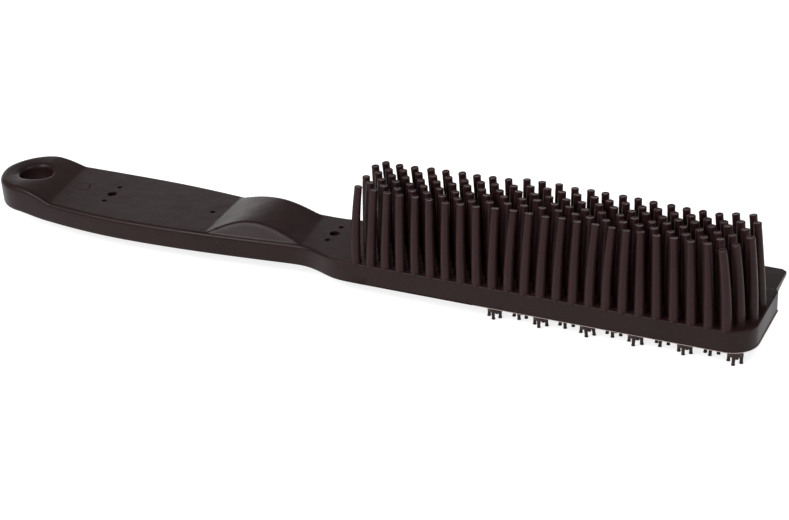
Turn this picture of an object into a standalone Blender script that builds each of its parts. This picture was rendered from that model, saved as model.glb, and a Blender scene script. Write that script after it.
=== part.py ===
"""Long-handled rubber curry comb, modelled as its functional pieces.

Frame: +X runs along the comb to the head's tip, +Y towards the scraper blade, +Z up the pins.
The origin is the middle of the bounding box in X and Y, at the height of the nub feet. Metres.
"""

import math

import bmesh
import bpy
from mathutils import Matrix, Vector

# Clearance between pieces that meet
PART_GAP = 0.0003

# Head plate
HEAD_LENGTH = 0.1302
HEAD_WIDTH = 0.0289
PLATE_THICKNESS = 0.0070
TIP_CORNER_RADIUS = 0.008
FAR_CORNER_RADIUS = 0.001
EDGE_CHAMFER = 0.0004

# Tapered pins, in staggered rows
PIN_PITCH = 0.0051
ROW_COUNT = 6
PIN_LENGTH = 0.0252
PIN_BASE_RADIUS = 0.00162
PIN_TIP_RADIUS = 0.00119
PIN_SIDES = 8
PIN_FAR_MARGIN = 0.0059
RIB_SHOULDER = 0.00003
RIB_HEIGHT = 0.0008
RIB_OVERLAP = 0.0002

# Scraper blade along the head's far side
BLADE_REACH = 0.0133
BLADE_ROOT_THICKNESS = 0.0028
BLADE_EDGE_THICKNESS = 0.0011
BLADE_TIP_SETBACK = 0.0009
BLADE_HEEL_START = 0.0093
BLADE_TIP_RADIUS = 0.0016
BLADE_HEEL_RADIUS = 0.0080

# Nub clusters under the head
NUB_HEIGHT = 0.0041
NUB_BLOCK_HEIGHT = 0.0017
NUB_BLOCK_RADIUS = 0.0023
NUB_PITCH = 0.0074
NUB_COLUMNS = 11
NUB_TIP_MARGIN = 0.0053
NUB_EDGE_MARGIN = 0.0030
NUB_ZIGZAG = 0.0023
PRONG_REACH_X = 0.0019
PRONG_REACH_Y = 0.0016
PRONG_RADIUS = 0.00052
PRONG_FOOT_RADIUS = 0.00062
PRONG_OVERLAP = 0.0004
PRONG_SIDES = 5
NUB_BLOCK_SIDES = 8

# Handle, measured back from the plane where it meets the head
HANDLE_LENGTH = 0.1408
HANDLE_OFFSET_FAR = 0.0125
NEAR_FLARE_LENGTH = 0.016
NEAR_WAIST_SETBACK = 0.018
NEAR_WAIST_HALF_WIDTH = 0.0122
NEAR_GRIP_SETBACK = 0.085
NEAR_GRIP_HALF_WIDTH = 0.0164
FAR_WAIST_SETBACK = 0.012
FAR_WAIST_HALF_WIDTH = 0.0110
FAR_GRIP_SETBACK = 0.088
FAR_GRIP_HALF_WIDTH = 0.0162
EYE_RADIUS = 0.0136
NEAR_EYE_HALF_WIDTH = 0.0139
FAR_EYE_HALF_WIDTH = 0.0141
END_ROUNDING = 0.58
HANG_HOLE_RADIUS = 0.0055
HANG_HOLE_FLARE = 0.0010
HANG_HOLE_SHIFT = 0.0010
EYE_RAISE = 0.0027
EYE_RAMP_LENGTH = 0.0120
EYE_RAMP_SKEW = 0.0025
END_LIFT = 0.0015
END_LIFT_SETBACK = 0.080
END_STEPS = 8

# Thumb hump
HUMP_HEIGHT = 0.0045
HUMP_HEEL_SETBACK = 0.0518
HUMP_HEEL_SKEW = 0.0013
HUMP_CREST_SETBACK = 0.0348
HUMP_CREST_SKEW = -0.0006
HUMP_TOE_SETBACK = 0.0184
HUMP_TOE_SKEW = 0.0018
NEAR_FLANK_RUN = 0.70
FAR_FLANK_RUN = 0.38

# Stiffening core and the holes that the mould's locating pins leave
CORE_THICKNESS = 0.0020
CORE_WIDTH = 0.0130
CORE_DEPTH = 0.0029
CORE_TIP_MARGIN = 0.0122
CORE_EYE_MARGIN = 0.0212
CORE_PIN_HOLE_RADIUS = 0.0007
SMALL_HOLE_RADIUS = 0.0009
LARGE_HOLE_RADIUS = 0.0016
HEAD_TRIO_SPREAD = 0.0047
EYE_TRIO_SPREAD = 0.0053
EYE_TRIO_SKEW = 0.0005
HEAD_TRIO_SETBACK = 0.0104
SINGLE_HOLE_BEHIND_HEEL = 0.0045
EYE_TRIO_MARGIN = 0.0305

# Places worked out from the sizes above
TOTAL_LENGTH = HEAD_LENGTH + HANDLE_LENGTH
TOTAL_WIDTH = HEAD_WIDTH + BLADE_REACH
HEAD_TIP_X = TOTAL_LENGTH / 2
JOINT_X = HEAD_TIP_X - HEAD_LENGTH
NEAR_Y = -TOTAL_WIDTH / 2
FAR_Y = NEAR_Y + HEAD_WIDTH
HANDLE_Y = FAR_Y - HANDLE_OFFSET_FAR
HEAD_FLARE_HALF_WIDTH = HANDLE_Y - NEAR_Y
PLATE_BOTTOM_Z = NUB_HEIGHT
PLATE_TOP_Z = PLATE_BOTTOM_Z + PLATE_THICKNESS
PIN_EDGE_MARGIN = PIN_BASE_RADIUS + RIB_SHOULDER
PIN_ROW_Y = NEAR_Y + PIN_EDGE_MARGIN
ROW_SPACING = (HEAD_WIDTH - PIN_EDGE_MARGIN - PIN_FAR_MARGIN) / (ROW_COUNT - 1)
FIRST_PIN_X = JOINT_X + PIN_PITCH
EYE_SETBACK = HANDLE_LENGTH - EYE_RADIUS
EYE_X = JOINT_X - EYE_SETBACK
HANG_HOLE_X = EYE_X - HANG_HOLE_SHIFT
BLADE_LENGTH = HEAD_LENGTH - BLADE_HEEL_START - BLADE_TIP_SETBACK
CORE_TOP_Z = PLATE_TOP_Z - CORE_DEPTH
CORE_HEAD_REACH = HEAD_LENGTH - CORE_TIP_MARGIN
CORE_HANDLE_REACH = EYE_SETBACK - CORE_EYE_MARGIN
SINGLE_HOLE_SETBACK = HUMP_HEEL_SETBACK + SINGLE_HOLE_BEHIND_HEEL
EYE_TRIO_SETBACK = EYE_SETBACK - EYE_TRIO_MARGIN


# ---------------------------------------------------------------- tools


def clear_scene():
    for item in list(bpy.data.objects):
        bpy.data.objects.remove(item)


def rubber():
    return make_material("moulded_rubber", (0.021, 0.014, 0.013), 0.55)


def core_plastic():
    return make_material("core_plastic", (0.10, 0.10, 0.11), 0.45)


def make_material(name, colour, roughness):
    found = bpy.data.materials.get(name)
    if found:
        return found
    material = bpy.data.materials.new(name)
    material.use_nodes = True
    shader = material.node_tree.nodes["Principled BSDF"]
    shader.inputs["Base Color"].default_value = (*colour, 1.0)
    shader.inputs["Roughness"].default_value = roughness
    shader.inputs["Metallic"].default_value = 0.0
    return material


def object_from(name, bm, material=None):
    """Makes a mesh object from a bmesh, with its faces turned outwards."""
    bmesh.ops.recalc_face_normals(bm, faces=bm.faces)
    mesh = bpy.data.meshes.new(name)
    bm.to_mesh(mesh)
    bm.free()
    item = bpy.data.objects.new(name, mesh)
    bpy.context.scene.collection.objects.link(item)
    if material:
        mesh.materials.append(material)
    return item


def add_loft(bm, rings):
    """Skins a row of equal point rings and caps both ends."""
    loops = [[bm.verts.new(point) for point in ring] for ring in rings]
    for low, high in zip(loops, loops[1:]):
        for i in range(len(low)):
            j = (i + 1) % len(low)
            bm.faces.new((low[i], low[j], high[j], high[i]))
    bm.faces.new(reversed(loops[0]))
    bm.faces.new(loops[-1])


def add_turned(bm, centre, profile, sides, turn=0.0):
    """Adds a turned solid about a vertical axis. The profile is (radius, height) from bottom to top."""
    angles = [turn + 2 * math.pi * i / sides for i in range(sides)]
    add_loft(
        bm,
        [
            [centre + Vector((r * math.cos(a), r * math.sin(a), z)) for a in angles]
            for r, z in profile
        ],
    )


def add_box(bm, low, high):
    size = Vector(high) - Vector(low)
    middle = (Vector(high) + Vector(low)) / 2
    place = Matrix.Translation(middle) @ Matrix.Diagonal((*size, 1.0))
    bmesh.ops.create_cube(bm, size=1.0, matrix=place)


def add_boolean(item, operation, other):
    """Joins or cuts with another object, which then stays only as a hidden guide."""
    other.display_type = "WIRE"
    other.hide_render = True
    modifier = item.modifiers.new(operation.lower(), "BOOLEAN")
    modifier.operation = operation
    modifier.solver = "EXACT"
    modifier.object = other


def shade_round(item, angle=math.radians(40)):
    item.data.shade_smooth()
    item.data.set_sharp_from_angle(angle=angle)


def arc(centre_x, centre_y, radius, start, stop, steps):
    """Points along an arc, angles in degrees, both ends included."""
    points = []
    for i in range(steps + 1):
        a = math.radians(start + (stop - start) * i / steps)
        points.append((centre_x + radius * math.cos(a), centre_y + radius * math.sin(a)))
    return points


# ---------------------------------------------------------------- handle


def near_half_width(setback):
    """Half width on the near side: a wide flare into the head, a waist, then the palm swell."""
    if setback > EYE_SETBACK:
        return NEAR_EYE_HALF_WIDTH * end_share(setback)
    if setback > NEAR_GRIP_SETBACK:
        return narrowing(setback, NEAR_GRIP_SETBACK, NEAR_GRIP_HALF_WIDTH, NEAR_EYE_HALF_WIDTH)
    flare = (HEAD_FLARE_HALF_WIDTH - NEAR_WAIST_HALF_WIDTH) * (1 - ease(setback / NEAR_FLARE_LENGTH))
    t = max(setback - NEAR_WAIST_SETBACK, 0.0) / (NEAR_GRIP_SETBACK - NEAR_WAIST_SETBACK)
    swell = (NEAR_GRIP_HALF_WIDTH - NEAR_WAIST_HALF_WIDTH) * math.sin(math.pi / 2 * t)
    return NEAR_WAIST_HALF_WIDTH + flare + swell


def far_half_width(setback):
    """Half width on the far side, which has a slimmer waist and an S-shaped swell."""
    if setback > EYE_SETBACK:
        return FAR_EYE_HALF_WIDTH * end_share(setback)
    if setback > FAR_GRIP_SETBACK:
        return narrowing(setback, FAR_GRIP_SETBACK, FAR_GRIP_HALF_WIDTH, FAR_EYE_HALF_WIDTH)
    flare = (HANDLE_OFFSET_FAR - FAR_WAIST_HALF_WIDTH) * (1 - ease(setback / FAR_WAIST_SETBACK))
    t = (setback - FAR_WAIST_SETBACK) / (FAR_GRIP_SETBACK - FAR_WAIST_SETBACK)
    return FAR_WAIST_HALF_WIDTH + flare + (FAR_GRIP_HALF_WIDTH - FAR_WAIST_HALF_WIDTH) * ease(t)


def ease(t):
    t = min(max(t, 0.0), 1.0)
    return t * t * (3 - 2 * t)


def narrowing(setback, start, start_half_width, end_half_width):
    """From the widest place down to the eye."""
    t = (setback - start) / (EYE_SETBACK - start)
    return end_half_width + (start_half_width - end_half_width) * math.cos(math.pi / 2 * t)


def end_share(setback):
    """Share of the eye's width that is left towards the rounded end."""
    beyond = min((setback - EYE_SETBACK) / EYE_RADIUS, 1.0)
    return max(1 - beyond**2, 0.0) ** END_ROUNDING


def hump_height(setback, side):
    """Rise of the thumb hump at the near (-1) or far (+1) side: a steep heel, then a long fall."""
    heel = HUMP_HEEL_SETBACK + side * HUMP_HEEL_SKEW
    crest = HUMP_CREST_SETBACK + side * HUMP_CREST_SKEW
    toe = HUMP_TOE_SETBACK + side * HUMP_TOE_SKEW
    if crest <= setback <= heel:
        return HUMP_HEIGHT * math.sin(math.pi / 2 * (heel - setback) / (heel - crest))
    if toe <= setback < crest:
        t = (crest - setback) / (crest - toe)
        return HUMP_HEIGHT * max(math.cos(math.pi / 2 * t), 0.0)
    return 0.0


def eye_raise(setback, side):
    """Extra thickness around the hang hole, reached over a ramp that starts at a crease."""
    ramp_start = EYE_SETBACK - EYE_RAMP_LENGTH + side * EYE_RAMP_SKEW
    t = min(max((setback - ramp_start) / EYE_RAMP_LENGTH, 0.0), 1.0)
    return EYE_RAISE * math.sin(math.pi / 2 * t)


def end_lift(setback):
    """Slight upward sweep of the handle's end."""
    t = max(setback - END_LIFT_SETBACK, 0.0) / (EYE_SETBACK - END_LIFT_SETBACK)
    return END_LIFT * min(t, 1.0) ** 2


def handle_section(setback, narrowest):
    """One cross-section of the handle: bottom, sides, chamfered edges and sloped hump flanks."""
    x = JOINT_X - setback
    near = max(near_half_width(setback), narrowest)
    far = max(far_half_width(setback), narrowest)
    bottom = PLATE_BOTTOM_Z + end_lift(setback)
    level = PLATE_TOP_Z + end_lift(setback)
    near_top = level + eye_raise(setback, -1)
    far_top = level + eye_raise(setback, 1)
    near_hump = hump_height(setback, -1)
    far_hump = hump_height(setback, 1)
    cut = EDGE_CHAMFER
    near_inset = cut + min(max(near_hump * NEAR_FLANK_RUN, cut), near / 2)
    far_inset = cut + min(max(far_hump * FAR_FLANK_RUN, cut), far / 2)
    return [
        (x, HANDLE_Y - near, bottom),
        (x, HANDLE_Y + far, bottom),
        (x, HANDLE_Y + far, far_top - cut),
        (x, HANDLE_Y + far - cut, far_top),
        (x, HANDLE_Y + far - far_inset, far_top + far_hump),
        (x, HANDLE_Y - near + near_inset, near_top + near_hump),
        (x, HANDLE_Y - near + cut, near_top),
        (x, HANDLE_Y - near, near_top - cut),
    ]


def handle_setbacks():
    """Stations along the handle, closer together on the hump and round the end."""
    eye_start = EYE_SETBACK - EYE_RAMP_LENGTH - EYE_RAMP_SKEW
    stretches = (
        (PART_GAP / 2, NEAR_WAIST_SETBACK, 6),
        (NEAR_WAIST_SETBACK, HUMP_HEEL_SETBACK + HUMP_HEEL_SKEW, 12),
        (HUMP_HEEL_SETBACK + HUMP_HEEL_SKEW, eye_start, 8),
        (eye_start, EYE_SETBACK, 6),
    )
    stations = [HANDLE_LENGTH]
    for start, stop, count in stretches:
        stations += [start + (stop - start) * i / count for i in range(count + 1)]
    for i in range(1, END_STEPS):
        stations.append(EYE_SETBACK + EYE_RADIUS * math.sin(math.pi / 2 * i / END_STEPS))
    return sorted({round(s, 6) for s in stations})


def add_locating_holes(bm):
    """Round holes from the handle's top down to the core."""
    trios = (
        (HEAD_TRIO_SETBACK, HEAD_TRIO_SPREAD, 0.0),
        (EYE_TRIO_SETBACK, EYE_TRIO_SPREAD, EYE_TRIO_SKEW),
    )
    holes = [(SINGLE_HOLE_SETBACK, 0.0, SMALL_HOLE_RADIUS)]
    for setback, spread, skew in trios:
        holes.append((setback, 0.0, LARGE_HOLE_RADIUS))
        holes.append((setback - skew, -spread, SMALL_HOLE_RADIUS))
        holes.append((setback + skew, spread, SMALL_HOLE_RADIUS))
    above = HUMP_HEIGHT + END_LIFT
    for setback, offset, radius in holes:
        centre = Vector((JOINT_X - setback, HANDLE_Y + offset, PLATE_TOP_Z))
        add_turned(bm, centre, ((radius, -CORE_DEPTH), (radius, above)), 10)


def add_core_pocket(bm):
    """Slot for the core, open where the handle meets the head."""
    low = (
        JOINT_X - CORE_HANDLE_REACH - PART_GAP,
        HANDLE_Y - CORE_WIDTH / 2 - PART_GAP,
        CORE_TOP_Z - CORE_THICKNESS - PART_GAP,
    )
    high = (
        JOINT_X + CORE_HEAD_REACH + PART_GAP,
        HANDLE_Y + CORE_WIDTH / 2 + PART_GAP,
        CORE_TOP_Z + PART_GAP,
    )
    add_box(bm, low, high)


def hang_hole_cutter():
    """Hang hole with flared rims, following the lifted and thickened end."""
    lift = end_lift(EYE_SETBACK)
    bottom = PLATE_BOTTOM_Z + lift
    top = PLATE_TOP_Z + lift + EYE_RAISE
    flare = HANG_HOLE_FLARE
    beyond = 3 * flare
    r = HANG_HOLE_RADIUS
    profile = (
        (r + flare + beyond, bottom - beyond),
        (r, bottom + flare),
        (r, top - flare),
        (r + flare + beyond, top + beyond),
    )
    bm = bmesh.new()
    add_turned(bm, Vector((HANG_HOLE_X, HANDLE_Y, 0.0)), profile, 24)
    return object_from("hang_hole_cutter", bm)


def cutter_from(name, *builders):
    bm = bmesh.new()
    for build in builders:
        build(bm)
    return object_from(name, bm)


def make_handle():
    bm = bmesh.new()
    narrowest = EYE_RADIUS / END_STEPS
    add_loft(bm, [handle_section(s, narrowest) for s in handle_setbacks()])
    handle = object_from("handle_grip", bm, rubber())
    add_boolean(handle, "DIFFERENCE", hang_hole_cutter())
    add_boolean(handle, "DIFFERENCE", cutter_from("handle_pocket_cutter", add_core_pocket))
    add_boolean(handle, "DIFFERENCE", cutter_from("locating_hole_cutter", add_locating_holes))
    shade_round(handle)
    return handle


# ---------------------------------------------------------------- head


def head_outline():
    """Plan of the head: a large radius on the near tip corner and a small one on the far corner."""
    start_x = JOINT_X + PART_GAP / 2
    big, small = TIP_CORNER_RADIUS, FAR_CORNER_RADIUS
    return [
        (start_x, NEAR_Y),
        *arc(HEAD_TIP_X - big, NEAR_Y + big, big, -90, 0, 8),
        *arc(HEAD_TIP_X - small, FAR_Y - small, small, 0, 90, 2),
        (start_x, FAR_Y),
    ]


def row_first_x(row):
    """Odd rows are set half a pitch towards the tip."""
    return FIRST_PIN_X + (PIN_PITCH / 2 if row % 2 else 0.0)


def row_y(row):
    return PIN_ROW_Y + row * ROW_SPACING


def row_limit_x(row):
    """How far the plate reaches at a row, with the near tip corner's rounding taken off."""
    into_corner = max(NEAR_Y + TIP_CORNER_RADIUS - row_y(row), 0.0)
    return HEAD_TIP_X - TIP_CORNER_RADIUS + math.sqrt(TIP_CORNER_RADIUS**2 - into_corner**2)


def pins_in(row):
    """As many pins as the row has room for."""
    room = row_limit_x(row) - PIN_EDGE_MARGIN - row_first_x(row)
    return math.floor(room / PIN_PITCH) + 1


def row_end_x(row):
    return row_first_x(row) + (pins_in(row) - 1) * PIN_PITCH


def add_pin_rebate(bm):
    """Sunken bed that holds the ribs of all the pin rows, open on the near side."""
    low_x = FIRST_PIN_X - PIN_EDGE_MARGIN - PART_GAP
    high_x = max(row_end_x(row) for row in range(ROW_COUNT)) + PIN_EDGE_MARGIN + PART_GAP
    high_y = row_y(ROW_COUNT - 1) + PIN_EDGE_MARGIN + PART_GAP
    low_y = NEAR_Y - PIN_EDGE_MARGIN
    floor_z = PLATE_TOP_Z - RIB_HEIGHT - PART_GAP
    add_box(bm, (low_x, low_y, floor_z), (high_x, high_y, PLATE_TOP_Z + PIN_LENGTH))


def make_head_plate():
    bm = bmesh.new()
    rings = [[(x, y, z) for x, y in head_outline()] for z in (PLATE_BOTTOM_Z, PLATE_TOP_Z)]
    add_loft(bm, rings)
    plate = object_from("head_plate", bm, rubber())
    add_boolean(plate, "DIFFERENCE", cutter_from("pin_rebate_cutter", add_pin_rebate))
    add_boolean(plate, "DIFFERENCE", cutter_from("head_pocket_cutter", add_core_pocket))
    shade_round(plate)
    return plate


def make_pin_row(row):
    """One row of tapered pins standing on its own low rib."""
    y = row_y(row)
    first, last = row_first_x(row), row_end_x(row)
    rib_bottom = PLATE_TOP_Z - RIB_HEIGHT
    bm = bmesh.new()
    low = (first - PIN_EDGE_MARGIN, y - PIN_EDGE_MARGIN, rib_bottom)
    high = (last + PIN_EDGE_MARGIN, y + PIN_EDGE_MARGIN, PLATE_TOP_Z)
    add_box(bm, low, high)
    item = object_from(f"pin_row_{row + 1}", bm, rubber())
    pins = bmesh.new()
    profile = ((PIN_BASE_RADIUS, -RIB_OVERLAP), (PIN_TIP_RADIUS, PIN_LENGTH))
    for i in range(pins_in(row)):
        base = Vector((first + i * PIN_PITCH, y, PLATE_TOP_Z))
        add_turned(pins, base, profile, PIN_SIDES, math.pi / PIN_SIDES)
    add_boolean(item, "UNION", object_from(f"pin_row_{row + 1}_pins", pins))
    shade_round(item)
    return item


def make_core():
    """Flat bar inside the handle and head, with round holes for the mould's pins."""
    half = CORE_WIDTH / 2
    rear_x = JOINT_X - CORE_HANDLE_REACH
    front_x = JOINT_X + CORE_HEAD_REACH
    corner = half / 2
    outline = [
        *arc(rear_x + corner, HANDLE_Y + half - corner, corner, 90, 180, 3),
        *arc(rear_x + corner, HANDLE_Y - half + corner, corner, 180, 270, 3),
        *arc(front_x - corner, HANDLE_Y - half + corner, corner, 270, 360, 3),
        *arc(front_x - corner, HANDLE_Y + half - corner, corner, 0, 90, 3),
    ]
    bm = bmesh.new()
    heights = (CORE_TOP_Z - CORE_THICKNESS, CORE_TOP_Z)
    add_loft(bm, [[(x, y, z) for x, y in outline] for z in heights])
    core = object_from("core_spine", bm, core_plastic())
    add_boolean(core, "DIFFERENCE", cutter_from("core_hole_cutter", add_core_pin_holes))
    return core


def add_core_pin_holes(bm):
    for setback in (HEAD_TRIO_SETBACK, EYE_TRIO_SETBACK):
        centre = Vector((JOINT_X - setback, HANDLE_Y, CORE_TOP_Z - CORE_THICKNESS))
        profile = ((CORE_PIN_HOLE_RADIUS, -CORE_THICKNESS), (CORE_PIN_HOLE_RADIUS, 2 * CORE_THICKNESS))
        add_turned(bm, centre, profile, 8)


def make_blade():
    """Flexible scraper: a wedge that thins towards its free edge."""
    root_y = FAR_Y + PART_GAP
    free_y = FAR_Y + BLADE_REACH
    tip_x = HEAD_TIP_X - BLADE_TIP_SETBACK
    heel_x = tip_x - BLADE_LENGTH
    outline = [
        (heel_x, root_y),
        (tip_x, root_y),
        *arc(tip_x - BLADE_TIP_RADIUS, free_y - BLADE_TIP_RADIUS, BLADE_TIP_RADIUS, 0, 90, 4),
        *arc(heel_x + BLADE_HEEL_RADIUS, free_y - BLADE_HEEL_RADIUS, BLADE_HEEL_RADIUS, 90, 180, 6),
    ]
    slope = (BLADE_ROOT_THICKNESS - BLADE_EDGE_THICKNESS) / (free_y - root_y)
    under = [(x, y, PLATE_TOP_Z - BLADE_ROOT_THICKNESS + slope * (y - root_y)) for x, y in outline]
    over = [(x, y, PLATE_TOP_Z) for x, y in outline]
    bm = bmesh.new()
    add_loft(bm, [under, over])
    blade = object_from("scraper_blade", bm, rubber())
    shade_round(blade)
    return blade


# ---------------------------------------------------------------- nubs


def nub_places():
    """(column, lane, x, y) of every cluster: two zigzag lanes along the sides and a straight middle one."""
    last_x = HEAD_TIP_X - NUB_TIP_MARGIN
    places = []
    for column in range(NUB_COLUMNS):
        x = last_x - (NUB_COLUMNS - 1 - column) * NUB_PITCH
        shift = NUB_ZIGZAG if column % 2 else 0.0
        lanes = (
            NEAR_Y + NUB_EDGE_MARGIN + shift,
            (NEAR_Y + FAR_Y) / 2,
            FAR_Y - NUB_EDGE_MARGIN - shift,
        )
        places += [(column, lane, x, y) for lane, y in enumerate(lanes)]
    return places


def nub_mesh():
    """Round block with four splayed-foot prongs, its feet at z = 0."""
    block_bottom = NUB_HEIGHT - NUB_BLOCK_HEIGHT
    bm = bmesh.new()
    block_profile = ((NUB_BLOCK_RADIUS, block_bottom), (NUB_BLOCK_RADIUS, NUB_HEIGHT - PART_GAP))
    add_turned(bm, Vector(), block_profile, NUB_BLOCK_SIDES, math.pi / NUB_BLOCK_SIDES)
    block = object_from("nub_block", bm)
    prongs = bmesh.new()
    prong_profile = ((PRONG_FOOT_RADIUS, 0.0), (PRONG_RADIUS, block_bottom + PRONG_OVERLAP))
    reaches = ((PRONG_REACH_X, 0), (-PRONG_REACH_X, 0), (0, PRONG_REACH_Y), (0, -PRONG_REACH_Y))
    for dx, dy in reaches:
        add_turned(prongs, Vector((dx, dy, 0.0)), prong_profile, PRONG_SIDES)
    guide = object_from("nub_prongs", prongs)
    add_boolean(block, "UNION", guide)
    bpy.context.view_layer.update()
    evaluated = block.evaluated_get(bpy.context.evaluated_depsgraph_get())
    mesh = bpy.data.meshes.new_from_object(evaluated)
    bpy.data.objects.remove(block)
    bpy.data.objects.remove(guide)
    mesh.materials.clear()
    mesh.materials.append(rubber())
    return mesh


def make_nubs():
    mesh = nub_mesh()
    mesh.shade_smooth()
    mesh.set_sharp_from_angle(angle=math.radians(40))
    lane_names = ("near", "middle", "far")
    for column, lane, x, y in nub_places():
        item = bpy.data.objects.new(f"nub_cluster_{lane_names[lane]}_{column + 1}", mesh)
        item.location = (x, y, 0.0)
        bpy.context.scene.collection.objects.link(item)


def main():
    clear_scene()
    make_handle()
    make_head_plate()
    make_core()
    for row in range(ROW_COUNT):
        make_pin_row(row)
    make_blade()
    make_nubs()


main()
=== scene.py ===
"""Looks of the long-handled rubber curry comb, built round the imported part. Metres, +Z up the pins.

Handle and head plate are one moulded skin; pins, blade and studs are separate pieces that join it.
"""

import math
import random

import bmesh
import bpy
from mathutils import Matrix, Vector
from mathutils.geometry import delaunay_2d_cdt


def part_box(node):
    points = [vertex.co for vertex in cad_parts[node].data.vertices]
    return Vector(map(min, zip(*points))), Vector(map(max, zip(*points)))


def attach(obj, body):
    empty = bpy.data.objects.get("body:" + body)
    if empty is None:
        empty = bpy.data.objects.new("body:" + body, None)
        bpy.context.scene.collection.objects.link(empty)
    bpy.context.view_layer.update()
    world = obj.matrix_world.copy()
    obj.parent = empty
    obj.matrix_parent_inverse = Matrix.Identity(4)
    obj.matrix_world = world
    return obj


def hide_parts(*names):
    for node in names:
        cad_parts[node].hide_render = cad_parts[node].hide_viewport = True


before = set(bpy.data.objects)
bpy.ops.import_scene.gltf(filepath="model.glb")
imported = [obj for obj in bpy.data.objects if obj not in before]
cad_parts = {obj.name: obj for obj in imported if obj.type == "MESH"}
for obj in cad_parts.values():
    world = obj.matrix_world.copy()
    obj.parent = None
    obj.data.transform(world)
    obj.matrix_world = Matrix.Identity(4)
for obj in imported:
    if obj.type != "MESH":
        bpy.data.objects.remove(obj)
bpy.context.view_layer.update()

# ------------------------------------------------------------------ sizes read from the part

PLATE_LOW, PLATE_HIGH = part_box("head_plate")
HANDLE_LOW, HANDLE_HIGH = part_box("handle_grip")
CORE_LOW, CORE_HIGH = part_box("core_spine")
BLADE_LOW, BLADE_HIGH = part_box("scraper_blade")
ROW_BOXES = [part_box(f"pin_row_{i + 1}") for i in range(6)]

JOINT_X = (PLATE_LOW.x + HANDLE_HIGH.x) / 2
TIP_X = PLATE_HIGH.x
NEAR_Y = PLATE_LOW.y
FAR_Y = PLATE_HIGH.y
BOTTOM_Z = PLATE_LOW.z
TOP_Z = PLATE_HIGH.z
HANDLE_Y = (CORE_LOW.y + CORE_HIGH.y) / 2
HANDLE_LENGTH = JOINT_X - HANDLE_LOW.x

# ------------------------------------------------------------------ sizes of the moulding

# Plan of the handle: places measured back from JOINT_X, half widths from HANDLE_Y
NEAR_FLARE, NEAR_WAIST, NEAR_WAIST_HALF = 0.016, 0.018, 0.0118
NEAR_GRIP, NEAR_GRIP_HALF = 0.085, 0.0164
FAR_WAIST, FAR_WAIST_HALF = 0.012, 0.0110
FAR_GRIP, FAR_GRIP_HALF = 0.088, 0.0162
END_LIFT, END_LIFT_SETBACK = 0.0015, 0.080

# Hanging eye: a raised round end, its face dished round a flared hole
EYE_RADIUS, EYE_END_POWER = 0.0136, 0.58
NEAR_EYE_HALF, FAR_EYE_HALF = 0.0139, 0.0141
EYE_SETBACK = HANDLE_LENGTH - EYE_RADIUS
EYE_RAISE, EYE_RAMP, EYE_SKEW = 0.0027, 0.0120, 0.18
DISH_DEPTH, DISH_REACH, DISH_LEAD, DISH_EASE = 0.0004, 0.0048, 0.010, 0.020
HOLE_RADIUS, HOLE_SHIFT, HOLE_SIDES = 0.0055, 0.0010, 64
HOLE_X = JOINT_X - EYE_SETBACK - HOLE_SHIFT
FLARE_TOP, FLARE_LOW = 0.0017, 0.0006

# Thumb hump, whose creases run a little askew: near side, far side
HUMP_HEIGHT = 0.0045
HUMP_HEEL = (0.0505, 0.0530)
HUMP_CREST = (0.0354, 0.0342)
HUMP_TOE = (0.0165, 0.0202)
FLANK_RUN = (0.70, 0.38)
FLANK_INSET = 0.0010
CREASE_SOFT, CREASE_EASE = 0.0009, 0.0018

# Radii of the rolled edges, and the lengths over which they change
HEAD_ROLL, FAR_ROLL, NEAR_ROLL, EYE_ROLL = 0.00045, 0.0007, 0.0013, 0.0018
ROLL_EASE, ROLL_BLEND = 0.02, 0.02
HEAD_LOW_ROLL, HANDLE_LOW_ROLL, EYE_LOW_ROLL, LOW_ROLL_EASE = 0.00022, 0.00042, 0.00132, 0.01

# Moulding lip along the head's lower edge: how far out and how high each of its lines stands
LIP_LINES = ((0.00003, 0.00002), (0.00026, 0.00004), (0.00028, 0.00012), (0.00002, 0.00020))
LIP_EASE = 0.02

# Corners of the head, and the steps between the points of the outline
CORNER_TIP, CORNER_FAR = 0.008, 0.0010
HANDLE_STEP, HEAD_STEP, END_STEPS, EYE_STEPS = 0.0009, 0.0016, 12, 48
RELAX_PASSES, RELAX_REACH = 14, 0.006

# Round witness line of an ejector pin, and the rings of points that carry it
MARK_X, MARK_Y, MARK_RADIUS = JOINT_X - 0.1095, HANDLE_Y + 0.0008, 0.0026
MARK_HALF_WIDTH, MARK_DEPTH, MARK_TURN = 0.0002, 0.00024, 0.5
MARK_STEPS = (-0.0010, -0.00035, -0.00022, -0.00008, 0.00008, 0.00022, 0.00035)

# Locating holes: two groups of a large one between two small ones, and a single small one
LARGE_HOLE, SMALL_HOLE, SINGLE_SETBACK = 0.0016, 0.0009, 0.0563
HOLE_GROUPS = ((0.0104, 0.0047, 0.0), (EYE_SETBACK - 0.0305, 0.0053, 0.0005))
HOLE_LINES = ((0.00025, 0.0), (0.00003, 0.0), (0.0, 0.00004), (0.0, 0.0008))
POST_RADIUS, POST_DROP, POST_EDGE = 0.0009, 0.0010, 0.0002

# Spacing of the points inside the faces, and how clear they keep of rims and holes
HEAD_GRID, PLAIN_GRID, FINE_GRID, LOW_GRID = 0.0030, 0.0010, 0.0006, 0.0022
FINE_HUMP, FINE_EYE = (0.014, 0.056), 0.110
RIM_WIDTH, HOLE_MARGIN = 0.00045, 0.0004
CORE_GAP = 0.0003

# ------------------------------------------------------------------ curves


def smooth(t):
    t = min(max(t, 0.0), 1.0)
    return t * t * (3 - 2 * t)


def smooth_min(a, b, k):
    """The smaller of two heights, rounded over a band k where they cross."""
    if k <= 0:
        return min(a, b)
    h = max(k - abs(a - b), 0.0) / k
    return min(a, b) - h * h * k / 4


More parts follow.
